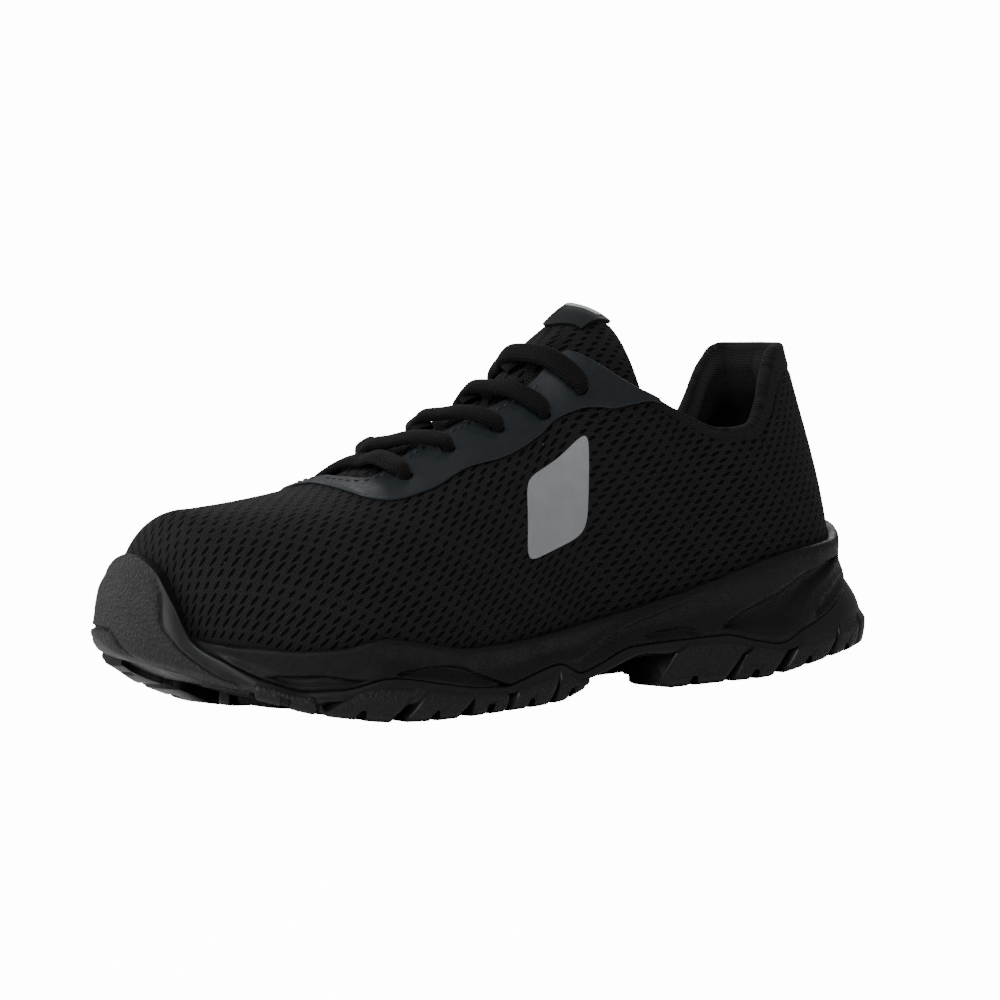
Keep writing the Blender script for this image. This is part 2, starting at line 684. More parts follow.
def sheet_faces(stations, rows_at):
    """Ring places, shares and square faces of a strip on both sides of the shoe.

    rows_at gives the shares at each ring place, from the strip's low edge up.
    The two halves share their points at the heel, at the toe and on the spine.
    """
    places = []
    ids = {}
    faces = []
    closed_top = column("top_half", np.array(stations)) < 1e-6
    for half in (1, -1):
        around = np.array(stations) if half > 0 else RING - np.array(stations)
        shares = rows_at(around)
        grid = []
        for i, s in enumerate(stations):
            own_side = 0 if s in (0.0, float(TOE)) else half
            last = len(shares[i]) - 1
            crown = shares[i][last] > 0.999 and closed_top[i]
            pointed = shares[i][last] - shares[i][0] < 1e-4
            row = []
            for j, v in enumerate(shares[i]):
                key = (i, last if pointed else j, own_side)
                if crown and (j == last or pointed):
                    key = (i, last, 0)
                if key not in ids:
                    ids[key] = len(places)
                    places.append((around[i], v))
                row.append(ids[key])
            grid.append(row)
        for i in range(len(stations) - 1):
            for j in range(last):
                face = (grid[i][j], grid[i][j + 1], grid[i + 1][j + 1], grid[i + 1][j])
                face = tuple(c for k, c in enumerate(face) if c != face[k - 1])
                if len(set(face)) > 2:
                    faces.append(face if half > 0 else face[::-1])
    places = np.array(places)
    return places[:, 0], places[:, 1], faces


def round_sheet(name, outer, inner, faces, materials, bulge, rim_rows):
    """A closed solid between two sheets, with a rounded border.

    The first material covers the outer sheet, the last one the rest. Returns the
    object and, for each of its points, the sheet's point it stands by.
    """
    count = len(outer)
    solid = list(faces) + [tuple(count + c for c in face[::-1]) for face in faces]
    last = len(materials) - 1
    kinds = [0] * len(faces) + [last] * len(faces)
    seen = set()
    for face in faces:
        for k, c in enumerate(face):
            seen.add((face[k - 1], c))
    border = [(a, b) for a, b in seen if (b, a) not in seen]
    after = dict(border)
    before = {b: a for a, b in border}
    points = [outer, inner]
    source = [np.arange(count), np.arange(count)]
    edge = np.array(sorted(after))
    along = outer[[after[a] for a in edge]] - outer[[before[a] for a in edge]]
    through = 0.5 * (outer[edge] - inner[edge])
    out = np.cross(along, through)
    out /= np.linalg.norm(out, axis=1, keepdims=True)
    middle = 0.5 * (outer[edge] + inner[edge])
    bulge = np.broadcast_to(bulge, count)[edge][:, None]
    for k in range(rim_rows):
        angle = np.pi * (k + 1) / (rim_rows + 1)
        points.append(middle + np.cos(angle) * through + np.sin(angle) * out * bulge)
        source.append(edge)
    where = {a: i for i, a in enumerate(edge)}

    def chain(corner):
        rim = [2 * count + k * len(edge) + where[corner] for k in range(rim_rows)]
        return [corner] + rim + [count + corner]

    for a, b in border:
        chain_a = chain(a)
        chain_b = chain(b)
        for k in range(rim_rows + 1):
            solid.append((chain_b[k], chain_a[k], chain_a[k + 1], chain_b[k + 1]))
            kinds.append(last)
    thing = make_object(name, np.concatenate(points), solid, materials, kinds)
    return thing, np.concatenate(source)


def ring_faces(rows, columns):
    faces = []
    for j in range(rows - 1):
        low = j * columns
        high = low + columns
        for i in range(columns):
            k = (i + 1) % columns
            faces.append((low + i, high + i, high + k, low + k))
    return faces


def cord_faces(rings, sides, first=0):
    """Faces of a closed cord whose rings of points follow each other from a first point."""
    faces = []
    for i in range(rings - 1):
        low = first + i * sides
        high = low + sides
        for k in range(sides):
            j = (k + 1) % sides
            faces.append((low + k, low + j, high + j, high + k))
    last = first + (rings - 1) * sides
    faces.append(tuple(range(first, first + sides))[::-1])
    faces.append(tuple(range(last, last + sides)))
    return faces


def add_shape(points, faces, new_points, new_faces):
    """Adds one shape to the points and faces of several."""
    faces += [tuple(c + len(points) for c in face) for face in new_faces]
    points += np.asarray(new_points).tolist()


def along_path(at, length, values):
    """Vectors at lengths along a path."""
    return np.stack([np.interp(at, length, values[:, k]) for k in range(3)], -1)


def ring_object(name, rows, around, materials):
    """A closed solid from rings of points, capped across the shoe at both ends."""
    columns = len(around)
    points = np.concatenate(rows)
    faces = ring_faces(len(rows), columns)
    last = (len(rows) - 1) * columns
    half = columns // 2
    for i in range(half):
        a, b, c, d = i, i + 1, (columns - i - 1) % columns, (columns - i) % columns
        for cap in ((a, b, c, d), (last + d, last + c, last + b, last + a)):
            cap = tuple(x for k, x in enumerate(cap) if x != cap[k - 1])
            faces.append(cap)
    return make_object(name, points, faces, materials)


def both_ways(stations):
    """Ring places all the way round from stations on one side."""
    return np.concatenate([stations, RING - stations[-2:0:-1]])


def cut(thing, other):
    """Takes the other object's volume out of a piece, and keeps the cloth's places."""
    count = len(thing.data.vertices)
    kept = {}
    for attribute in thing.data.attributes:
        if attribute.name in ("knit", "band"):
            kind = "vector" if attribute.data_type == "FLOAT_VECTOR" else "value"
            values = np.zeros(count * (3 if kind == "vector" else 1))
            attribute.data.foreach_get(kind, values)
            kept[attribute.name] = values.reshape(count, -1)
    tree = KDTree(count)
    for i, corner in enumerate(thing.data.vertices):
        tree.insert(corner.co, i)
    tree.balance()
    modifier = thing.modifiers.new("cut", "BOOLEAN")
    modifier.operation = "DIFFERENCE"
    modifier.solver = "EXACT"
    modifier.object = other
    graph = bpy.context.evaluated_depsgraph_get()
    shape = thing.evaluated_get(graph)
    result = bpy.data.meshes.new_from_object(shape, preserve_all_data_layers=True, depsgraph=graph)
    thing.modifiers.clear()
    thing.data = result
    bpy.data.objects.remove(other)
    near = [tree.find(corner.co)[1] for corner in result.vertices]
    for name, values in kept.items():
        if name in result.attributes:
            result.attributes.remove(result.attributes[name])
        store(thing, name, values[near] if values.shape[1] == 3 else values[near, 0])


def tube(path, wide, widths, heights, sides=20):
    """Points and faces of a flat cord: an oval swept along a path."""
    along = np.gradient(path, axis=0)
    along /= np.linalg.norm(along, axis=1, keepdims=True)
    wide = wide - along * np.einsum("ij,ij->i", wide, along)[:, None]
    wide /= np.linalg.norm(wide, axis=1, keepdims=True)
    tall = np.cross(wide, along)
    angle = 2.0 * np.pi * np.arange(sides) / sides
    reach = np.sign(np.cos(angle)) * np.abs(np.cos(angle)) ** 0.75
    rise = np.sign(np.sin(angle)) * np.abs(np.sin(angle)) ** 0.75
    points = (
        path[:, None, :]
        + 0.5 * widths[:, None, None] * reach[None, :, None] * wide[:, None, :]
        + 0.5 * heights[:, None, None] * rise[None, :, None] * tall[:, None, :]
    )
    length = cumulative(path)
    place = np.stack(
        [
            np.repeat(length, sides),
            np.tile(0.5 * LACE_WIDTH * reach, len(path)),
            np.tile(0.5 * LACE_THICKNESS * rise, len(path)),
        ],
        -1,
    )
    return points.reshape(-1, 3), cord_faces(len(path), sides), place


# Materials

class Surface:
    """A material and the nodes that feed it."""

    def __init__(self, name, colour, roughness, specular=0.5):
        self.material = bpy.data.materials.new(name)
        self.material.use_nodes = True
        self.tree = self.material.node_tree
        self.shader = self.tree.nodes["Principled BSDF"]
        self.shader.inputs["Base Color"].default_value = (*colour, 1.0)
        self.shader.inputs["Roughness"].default_value = roughness
        self.shader.inputs["Specular IOR Level"].default_value = specular

    def put(self, node, socket, value):
        if isinstance(value, bpy.types.NodeSocket):
            self.tree.links.new(value, node.inputs[socket])
        elif value is not None:
            node.inputs[socket].default_value = value

    def math(self, operation, a, b=None, c=None):
        node = self.tree.nodes.new("ShaderNodeMath")
        node.operation = operation
        for i, value in enumerate((a, b, c)):
            self.put(node, i, value)
        return node.outputs[0]

    def times(self, a, b):
        return self.math("MULTIPLY", a, b)

    def over(self, a, b):
        return self.math("DIVIDE", a, b)

    def plus(self, a, b):
        return self.math("ADD", a, b)

    def times_plus(self, a, b, c):
        return self.math("MULTIPLY_ADD", a, b, c)

    def wave(self, value, length):
        return self.math("SINE", self.times(value, 2.0 * np.pi / length))

    def ramp(self, value, low, high, start=0.0, end=1.0):
        node = self.tree.nodes.new("ShaderNodeMapRange")
        node.interpolation_type = "SMOOTHSTEP"
        for socket, number in (("Value", value), ("From Min", low), ("From Max", high)):
            self.put(node, socket, number)
        self.put(node, "To Min", start)
        self.put(node, "To Max", end)
        return node.outputs["Result"]

    def attribute(self, name):
        node = self.tree.nodes.new("ShaderNodeAttribute")
        node.attribute_name = name
        return node

    def parts(self, vector):
        node = self.tree.nodes.new("ShaderNodeSeparateXYZ")
        self.put(node, 0, vector)
        return node.outputs[0], node.outputs[1], node.outputs[2]

    def coordinates(self):
        return self.tree.nodes.new("ShaderNodeTexCoord").outputs["Object"]

    def noise(self, vector, scale, detail=3.0):
        node = self.tree.nodes.new("ShaderNodeTexNoise")
        self.put(node, "Vector", vector)
        self.put(node, "Scale", scale)
        self.put(node, "Detail", detail)
        return node.outputs[0]

    def cells(self, vector, scale, feature="F1"):
        node = self.tree.nodes.new("ShaderNodeTexVoronoi")
        node.feature = feature
        self.put(node, "Vector", vector)
        self.put(node, "Scale", scale)
        return node

    def mix(self, share, first, second):
        node = self.tree.nodes.new("ShaderNodeMix")
        node.data_type = "RGBA"
        self.put(node, 0, share)
        self.put(node, 6, (*first, 1.0) if isinstance(first, tuple) else first)
        self.put(node, 7, (*second, 1.0) if isinstance(second, tuple) else second)
        return node.outputs[2]

    def bump(self, height, distance, strength=1.0, before=None):
        node = self.tree.nodes.new("ShaderNodeBump")
        self.put(node, "Height", height)
        self.put(node, "Distance", distance)
        self.put(node, "Strength", strength)
        if before is not None:
            self.put(node, "Normal", before)
        return node.outputs[0]

    def set(self, socket, value):
        self.put(self.shader, socket, value)

    def specks(self, vector, colour, share=0.93):
        """Mixes in a few pale specks of lint."""
        cells = self.cells(vector, 1.0 / (9.0 * MM))
        near = self.ramp(cells.outputs["Distance"], 0.016, 0.030, 1.0, 0.0)
        chance = self.ramp(self.parts(cells.outputs["Color"])[0], share, share + 0.01)
        return self.mix(self.times(near, chance), colour, (0.30, 0.30, 0.29))


def shaded(colour, share):
    return tuple(share * c for c in colour)


def knit_surface(name, yarn, slits=True):
    """Knitted cloth: rows of fine stitches, with staggered oval slits in air mesh."""
    made = Surface(name, yarn, 0.85, 0.12)
    place = made.attribute("knit").outputs["Vector"]
    x, y, down = made.parts(place)
    zigzag = made.math("PINGPONG", made.over(y, KNIT_STITCH), 0.5)
    across = made.plus(made.over(x, KNIT_STITCH), zigzag)
    wave = made.wave(across, 1.0)
    lines = made.wave(y, KNIT_STITCH)
    stitch = made.times_plus(wave, 0.3, made.times_plus(lines, 0.2, 0.5))
    fuzz = made.noise(place, 2200.0, 2.0)
    shade = made.times_plus(stitch, 0.9, made.times_plus(fuzz, 0.7, -0.3))
    colour = made.mix(shade, shaded(yarn, 0.06), shaded(yarn, 4.2))
    height = made.times(stitch, 0.35)
    if slits:
        wander = made.noise(place, 45.0, 1.0)
        px = made.over(x, SLIT_PITCH)
        py = made.over(y, SLIT_ROW)
        odd = made.times(made.math("FLOORED_MODULO", made.math("FLOOR", py), 2.0), 0.5)
        fx = made.math("SUBTRACT", made.math("FRACT", made.plus(px, odd)), 0.5)
        fy = made.math("SUBTRACT", made.math("FRACT", py), 0.5)
        mx = made.times(fx, SLIT_PITCH)
        my = made.times(fy, SLIT_ROW)
        lx = made.times_plus(my, SLIT_TILT, mx)
        ly = made.times_plus(mx, -SLIT_TILT, my)
        beat = made.plus(made.over(x, FADE_LENGTH), made.over(y, FADE_ROW))
        size = made.times_plus(made.wave(beat, 1.0), 0.17, 0.86)
        size = made.plus(size, made.times_plus(wander, 0.3, -0.15))
        long = made.over(lx, made.times(size, 0.5 * SLIT_LENGTH))
        thin = made.over(ly, 0.5 * SLIT_WIDTH)
        far = made.plus(made.times(long, long), made.times(thin, thin))
        band = made.attribute("band").outputs["Fac"]
        cloth = made.ramp(band, 0.2, 0.7)
        hole = made.times(made.ramp(far, 0.60, 1.10, 1.0, 0.0), cloth)
        rim = made.times(made.ramp(far, 1.0, 1.6), made.ramp(far, 1.9, 3.4, 1.0, 0.0))
        colour = made.mix(hole, colour, shaded(yarn, 0.01))
        height = made.plus(height, made.times(rim, 0.12))
        height = made.math("SUBTRACT", height, made.times(hole, 0.8))
    made.set("Base Color", made.specks(place, colour))
    made.set("Normal", made.bump(height, 0.40 * MM, 0.9))
    made.set("Sheen Weight", 0.03)
    made.set("Sheen Roughness", 0.45)
    return made.material


def film_surface():
    """The eyestay's smooth, slightly mottled film."""
    made = Surface("eyestay_film", (0.0145, 0.0190, 0.0230), 0.42, 0.45)
    place = made.coordinates()
    mottle = made.noise(place, 90.0, 4.0)
    colour = made.mix(mottle, (0.0115, 0.0155, 0.0190), (0.0180, 0.0230, 0.0275))
    made.set("Base Color", made.specks(place, colour, 0.96))
    made.set("Roughness", made.ramp(made.noise(place, 400.0), 0.3, 0.7, 0.36, 0.50))
    made.set("Normal", made.bump(made.noise(place, 1400.0, 2.0), 0.05 * MM, 0.6))
    return made.material


def foam_surface():
    """The midsole's moulded foam, with fine level lines over it."""
    made = Surface("midsole_foam", (0.0050, 0.0054, 0.0060), 0.46, 0.30)
    place = made.coordinates()
    lines = made.attribute("lines").outputs["Fac"]
    wobble = made.times_plus(made.noise(place, 260.0, 2.0), 0.5 * MM, lines)
    fine = made.wave(wobble, 0.75 * MM)
    broken = made.times(fine, made.ramp(made.noise(place, 700.0, 2.0), 0.40, 0.62))
    scratch = made.noise(place, 150.0, 6.0)
    made.set("Base Color", made.mix(scratch, (0.0036, 0.0039, 0.0044), (0.0066, 0.0071, 0.0079)))
    made.set("Roughness", made.ramp(scratch, 0.3, 0.7, 0.42, 0.60))
    fine_bump = made.bump(broken, 0.06 * MM, 0.8)
    made.set("Normal", made.bump(made.noise(place, 1500.0, 2.0), 0.03 * MM, 0.6, fine_bump))
    return made.material


def rubber_surface():
    """The outsole's rubber: grained where the attribute says, smooth elsewhere."""
    made = Surface("outsole_rubber", (0.0085, 0.0094, 0.0106), 0.48, 0.42)
    place = made.coordinates()
    grain = made.attribute("grain").outputs["Fac"]
    line = made.attribute("line").outputs["Fac"]
    cells = made.cells(place, 1.0 / (1.05 * MM)).outputs["Distance"]
    fine = made.noise(place, 2600.0, 2.0)
    leather = made.times_plus(cells, 0.8, made.times(fine, 0.5))
    wear = made.noise(place, 120.0, 5.0)
    colour = made.mix(wear, (0.0058, 0.0064, 0.0073), (0.0090, 0.0099, 0.0112))
    colour = made.mix(made.times(line, 0.85), colour, (0.0020, 0.0021, 0.0023))
    made.set("Base Color", colour)
    rough = made.times_plus(grain, 0.16, made.ramp(wear, 0.3, 0.7, 0.34, 0.44))
    made.set("Roughness", rough)
    grained = made.bump(leather, 0.55 * MM, grain)
    made.set("Normal", made.bump(made.noise(place, 900.0, 2.0), 0.03 * MM, 0.5, grained))
    return made.material


def lace_surface():
    """The laces' round knit: slanted ribs that meet along the lace's middle."""
    made = Surface("lace_knit", (0.0060, 0.0052, 0.0055), 0.88, 0.12)
    place = made.attribute("knit").outputs["Vector"]
    along, across, up = made.parts(place)
    slant = made.plus(along, made.times(made.math("ABSOLUTE", across), 0.8))
    ribs = made.wave(slant, 1.05 * MM)
    rows = made.wave(across, 0.9 * MM)
    weave = made.times_plus(ribs, 0.3, made.times_plus(rows, 0.2, 0.5))
    fuzz = made.noise(made.coordinates(), 1800.0, 3.0)
    shade = made.times_plus(weave, 0.6, made.times(fuzz, 0.6))
    colour = made.mix(shade, (0.0015, 0.0013, 0.0014), (0.0125, 0.0108, 0.0112))
    made.set("Base Color", made.specks(made.coordinates(), colour, 0.90))
    height = made.plus(weave, made.times(fuzz, 0.5))
    made.set("Normal", made.bump(height, 0.30 * MM, 0.9))
    made.set("Sheen Weight", 0.04)
    made.set("Sheen Roughness", 0.4)
    return made.material


def plain_surface(name, colour, roughness, grain, depth):
    made = Surface(name, colour, roughness)
    place = made.coordinates()
    mottle = made.noise(place, 160.0, 4.0)
    made.set("Base Color", made.mix(mottle, shaded(colour, 0.88), shaded(colour, 1.10)))
    made.set("Normal", made.bump(made.noise(place, grain, 2.0), depth, 0.6))
    return made.material


# Cloth: stitch size, the slits' spacing, size and slant, and the waves over which they shrink
KNIT_STITCH = 0.85 * MM
SLIT_PITCH = 5.8 * MM
SLIT_ROW = 2.5 * MM
SLIT_LENGTH = 4.7 * MM
SLIT_WIDTH = 1.3 * MM
SLIT_TILT = 0.30
FADE_LENGTH = 27.0 * MM
FADE_ROW = 23.0 * MM

MESH = knit_surface("upper_mesh", (0.0080, 0.0075, 0.0078))
LINING = knit_surface("lining", (0.0060, 0.0054, 0.0054), False)
FILM = film_surface()
FOAM = foam_surface()
RUBBER = rubber_surface()
LACE = lace_surface()
REFLECTOR = plain_surface("reflector", (0.335, 0.350, 0.360), 0.38, 900.0, 0.03 * MM)
THREAD = plain_surface("thread", (0.030, 0.033, 0.036), 0.60, 2500.0, 0.03 * MM)
DARK_FILM = plain_surface("label_film", (0.0120, 0.0135, 0.0150), 0.40, 1500.0, 0.03 * MM)


def finish_piece(thing, *nodes, slot=None):
    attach(thing, "root")
    if nodes:
        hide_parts(*nodes)


# The upper

# How far the eyelets' cutters reach inside and outside the upper's face
CUTTER_ENDS = (-7.0 * MM, 4.0 * MM)


def eyelet_cutter(sides=24):
    t, distance = eyelet_places()
    points = []
    faces = []
    for places in (t, RING - t):
        v = share_at_distance(places, distance)
        for centre, axis in zip(upper_point(places, v), upper_normal(places, v)):
            first = np.cross(axis, (1.0, 0.0, 0.0))
            first /= np.linalg.norm(first)
            second = np.cross(axis, first)
            start = len(points)
            for end in CUTTER_ENDS:
                for k in range(sides):
                    angle = 2.0 * np.pi * k / sides
                    spoke = np.cos(angle) * first + np.sin(angle) * second
                    points.append(centre + EYELET_RADIUS * spoke + end * axis)
            faces += cord_faces(2, sides, start)
    return make_object("eyelet_cutter", points, faces, [])


# Spacing of the upper's sections, its rows below and above the eyestay's lower edge, and
# the station where the throat starts to round off, from which its sections lie closer
UPPER_STEP = 1.5 * MM
LOW_ROWS = 40
HIGH_ROWS = 16
THROAT_TURN = THROAT[5].station
UPPER_STATIONS = sorted(
    set(stations_between(0.0, THROAT_TURN, UPPER_STEP).tolist())
    | set(np.linspace(THROAT_TURN, THROAT_FRONT, 26).tolist())
    | set(stations_between(THROAT_FRONT, float(TOE), UPPER_STEP).tolist())
)


# The lining's border, rolled over the collar's edge, and the seam below it
BINDING_WIDTH = 3.5 * MM
BINDING_HEEL = 4.5 * MM
BINDING_PROUD = 0.25 * MM
SEAM_WIDTH = 0.8 * MM
SEAM_DEPTH = 0.6 * MM


def make_upper():
    def rows_at(t):
        split = split_share(t)
        below = rows_between(0.0 * split, split, LOW_ROWS)
        above = rows_between(split, top_share(t), HIGH_ROWS)
        return [a[:-1] + b for a, b in zip(below, above)]

    t, v, faces = sheet_faces(UPPER_STATIONS, rows_at)
    thickness = wall_thickness(t, v, top_share(t))
    binding = BINDING_WIDTH + BINDING_HEEL * (1.0 - smooth_step(2.0, 2.9, station(t)))
    off = below_edge(t, v) - binding
    at_collar = 1.0 - smooth_step(3.9, 4.3, station(t))
    seam = np.exp(-((off / SEAM_WIDTH) ** 2)) * at_collar
    padded = smooth_step(-BINDING_WIDTH, 0.0, off) * (off < 0.0) * at_collar
    outer = on_upper(t, v, BINDING_PROUD * padded - SEAM_DEPTH * seam)
    inner = on_upper(t, v, -thickness)
    bulge = np.where(v > 0.2, 0.42 * thickness, 0.0)
    thing, source = round_sheet("upper_shell", outer, inner, faces, [MESH, LINING], bulge, 5)
    store(thing, "knit", fabric_place(t, v)[source])
    cloth = 1.0 - at_collar * (1.0 - smooth_step(-0.5 * MM, 0.5 * MM, off))
    store(thing, "band", cloth[source])
    cut(thing, eyelet_cutter())
    finish_piece(thing, "upper", slot="upper_mesh")


# The eyestay's low edge is level behind the first station, and rises to its end behind the second
TAPER_FRONT = 4.28
TAPER_START = 4.08

# How deep the film goes into the mesh, and how far its edge is rounded
FILM_SUNK = 0.4 * MM
FILM_ROUND = 0.3 * MM


def make_eyestay():
    stations = sorted(s for s in UPPER_STATIONS if EYESTAY_BACK < s < EYESTAY_FRONT)
    stations = [EYESTAY_BACK] + stations + [EYESTAY_FRONT]

    def rows_at(t):
        top = top_share(t)
        ahead = np.maximum(station(t), TAPER_FRONT)
        low = split_share(np.where(t <= TOE, ahead, RING - ahead))
        point = 1.0 - smooth_step(EYESTAY_BACK - 0.05, TAPER_START, station(t))
        return rows_between(low + point * (top - 0.01 - low), top, 18)

    t, v, faces = sheet_faces(stations, rows_at)
    outer = on_upper(t, v, FIT_GAP + EYESTAY_THICKNESS)
    inner = on_upper(t, v, FIT_GAP - FILM_SUNK)
    thing, _ = round_sheet("eyestay_film_sheet", outer, inner, faces, [FILM], FILM_ROUND, 3)
    cut(thing, eyelet_cutter())
    finish_piece(thing, "eyestay", slot="eyestay_film")


# How far the tongue swells between the throat's edges, and how much thinner its own edge is
TONGUE_CROWN = 3.0 * MM
TONGUE_THINNED = 0.9 * MM


def make_tongue():
    stations = stations_between(TONGUE_BACK, TONGUE_FRONT, 1.4 * MM).tolist()

    def edge_share(t):
        top = 1.0 - smooth_step(TONGUE_BACK + 0.1, TONGUE_BACK + 0.60, station(t))
        low = smooth_step(TONGUE_BACK + 0.4, TONGUE_BACK + 0.9, station(t))
        return 1.0 - (1.0 - tongue_share(t)) * (1.0 + 0.50 * top - 0.12 * low)

    def rows_at(t):
        return rows_between(edge_share(t), 1.0 + 0.0 * t, 26)

    t, v, faces = sheet_faces(stations, rows_at)
    moved = swept(t, v)
    width = 1.0 - edge_share(t)
    edge = np.clip((v - edge_share(t)) / width, 0.0, 1.0)
    back = smooth_step(TONGUE_BACK, TONGUE_BACK + 0.35, station(t))
    puff = TONGUE_THINNED * (smooth_step(0.0, 0.30, edge) * back - 1.0)
    throat = (v - top_share(t)) / np.maximum(1.0 - top_share(t), 0.02)
    crown = smooth_step(0.05, 0.60, throat) * smooth_step(4.3, 4.8, station(t))
    puff = puff + TONGUE_CROWN * crown * (1.0 - smooth_step(7.2, 7.6, station(t)))
    outer = on_upper(moved, v, puff - TONGUE_DEPTH)
    inner = on_upper(moved, v, -TONGUE_DEPTH - TONGUE_THICKNESS)
    bulge = 0.35 * TONGUE_THICKNESS
    thing, source = round_sheet("tongue_pad", outer, inner, faces, [MESH, LINING], bulge, 5)
    store(thing, "knit", fabric_place(t, v)[source])
    store(thing, "band", smooth_step(0.08, 0.16, edge)[source])
    finish_piece(thing, "tongue", slot="upper_mesh")


def label_sheet(name, back, front, half, low, high, material, *nodes):
    """A sheet on the tongue's front between two stations."""
    stations = np.linspace(back, front, 14).tolist()

    def rows_at(t):
        return rows_between(share_at_distance(t, half + 0.0 * t), 1.0 + 0.0 * t, 10)

    t, v, faces = sheet_faces(stations, rows_at)
    moved = swept(t, v)
    outer = on_upper(moved, v, -TONGUE_DEPTH + high)
    inner = on_upper(moved, v, -TONGUE_DEPTH + low)
    thing, _ = round_sheet(name, outer, inner, faces, [material], 0.0, 2)
    finish_piece(thing, *nodes, slot="eyestay_film")


def make_label():
    high = 2.0 * FIT_GAP + LABEL_THICKNESS
    label_sheet(
        "tongue_label_film", LABEL_BACK, LABEL_FRONT, 0.5 * LABEL_WIDTH,
        0.0, high, DARK_FILM, "tongue_label",
    )
    label_sheet(
        "tongue_label_bar", LABEL_BACK + 0.03, LABEL_BACK + 0.10, 0.42 * LABEL_WIDTH,
        high - 0.2 * MM, high + 0.15 * MM, REFLECTOR,
    )


# The patch on the quarter: a plain slanted shape, by its sides' stations and shares
PATCH_BACK = 4.66
PATCH_FRONT = 5.42
PATCH_LOW = 0.25
PATCH_HIGH = 0.50
PATCH_SLANT = 0.010
PATCH_LEAN = 0.09
PATCH_SQUARENESS = 7.0
PATCH_PROUD = 0.25 * MM
PATCH_SUNK = 0.3 * MM


def make_patch():
    """A plain reflective patch with rounded corners on the outer side."""
    columns, rows = 36, 26
    a, b = np.meshgrid(np.linspace(-1.0, 1.0, columns), np.linspace(-1.0, 1.0, rows), indexing="ij")
    radius = np.maximum(np.abs(a), np.abs(b))
    norm = np.abs(a) ** PATCH_SQUARENESS + np.abs(b) ** PATCH_SQUARENESS
    norm = norm ** (1.0 / PATCH_SQUARENESS)
    scale = np.where(norm > 0.0, radius / np.maximum(norm, 1e-9), 1.0)
    a, b = a * scale, b * scale
    t = 0.5 * (PATCH_BACK + PATCH_FRONT) + 0.5 * (PATCH_FRONT - PATCH_BACK) * a
    v = 0.5 * (PATCH_LOW + PATCH_HIGH) + 0.5 * (PATCH_HIGH - PATCH_LOW) * b - PATCH_SLANT * a
    t = t - PATCH_LEAN * b
    t, v = t.ravel(), v.ravel()
    faces = []
    for i in range(columns - 1):
        for j in range(rows - 1):
            corner = i * rows + j
            faces.append((corner, corner + 1, corner + rows + 1, corner + rows))
    outer = on_upper(t, v, PATCH_PROUD)
    inner = on_upper(t, v, -PATCH_SUNK)
    thing, _ = round_sheet("quarter_patch", outer, inner, faces, [REFLECTOR], 0.0, 2)
    finish_piece(thing, slot="eyestay_film")


# The throat's stitches: where their row starts, how far it lies inside the eyestay's edge,
# their size, and how high each stands along its length, as shares of its radius
STITCH_BACK = 4.80
STITCH_INSET = 2.6 * MM
STITCH_PITCH = 3.3 * MM
STITCH_LENGTH = 2.4 * MM
STITCH_RADIUS = 0.28 * MM
STITCH_SINK = (-1.5, 0.0, 0.35, 0.35, 0.0, -1.5)


def make_stitches(sides=6):
    """The row of stitches round the throat, just inside the eyestay's edge."""
    s = np.linspace(STITCH_BACK, THROAT_FRONT, 500)
    spine = upper_point(s, 1.0 + 0.0 * s)
    run = cumulative(spine)
    half = throat_half(s)
    curve = np.stack([run, half], -1)
    turn = np.gradient(curve, axis=0)
    turn /= np.linalg.norm(turn, axis=1, keepdims=True)
    moved = curve + STITCH_INSET * np.stack([-turn[:, 1], turn[:, 0]], -1)
    moved[:, 0] = np.maximum.accumulate(moved[:, 0])
    slope = (s[-1] - s[-30]) / (run[-1] - run[-30])
    place = np.where(
        moved[:, 0] <= run[-1],
        np.interp(moved[:, 0], run, s),
        s[-1] + (moved[:, 0] - run[-1]) * slope,
    )
    points = []
    faces = []
    for sign in (1.0, -1.0):
        t = place if sign > 0.0 else RING - place
        v = share_at_distance(t, np.maximum(moved[:, 1], 0.0))
        path = on_upper(t, v, FIT_GAP + EYESTAY_THICKNESS + 0.3 * STITCH_RADIUS)
        up = upper_normal(t, v)
        length = cumulative(path)
        for start in np.arange(1.0 * MM, length[-1] - STITCH_LENGTH, STITCH_PITCH):
            at = np.linspace(start, start + STITCH_LENGTH, len(STITCH_SINK))
            line = along_path(at, length, path)
            normal = along_path(start, length, up)
            along = line[-1] - line[0]
            along /= np.linalg.norm(along)
            wide = np.cross(normal, along)
            first = len(points)
            for k, sink in enumerate(STITCH_SINK):
                centre = line[k] + normal * (sink * STITCH_RADIUS)
                for m in range(sides):
                    angle = 2.0 * np.pi * m / sides
                    spoke = np.cos(angle) * wide + np.sin(angle) * normal
                    points.append(centre + STITCH_RADIUS * spoke)
            faces += cord_faces(len(STITCH_SINK), sides, first)
    thing = make_object("throat_stitches", points, faces, [THREAD])
    finish_piece(thing, slot="lace_knit")


# The laces: how far each bows up on its way, the length of each step into an eyelet,
# and the shares of the way at which the heights are given
LACE_BOW = 0.4 * MM
DIVE_STEP = 1.2 * MM
DIVE_STEPS = 4
BAR_TURNS = (0.0, 0.26, 0.50, 0.74, 1.0)
CROSSING_TURNS = (0.0, 0.05, 0.19, 0.36, 0.62, 1.0)

# How far ahead of its eyelets the bar lies and how far behind them the crossings start, in
# stations, and how far inside the throat's edge they start, in lace widths
BAR_SHIFT = 0.02
CROSSING_SHIFT = 0.11
CROSSING_INSET = 1.6


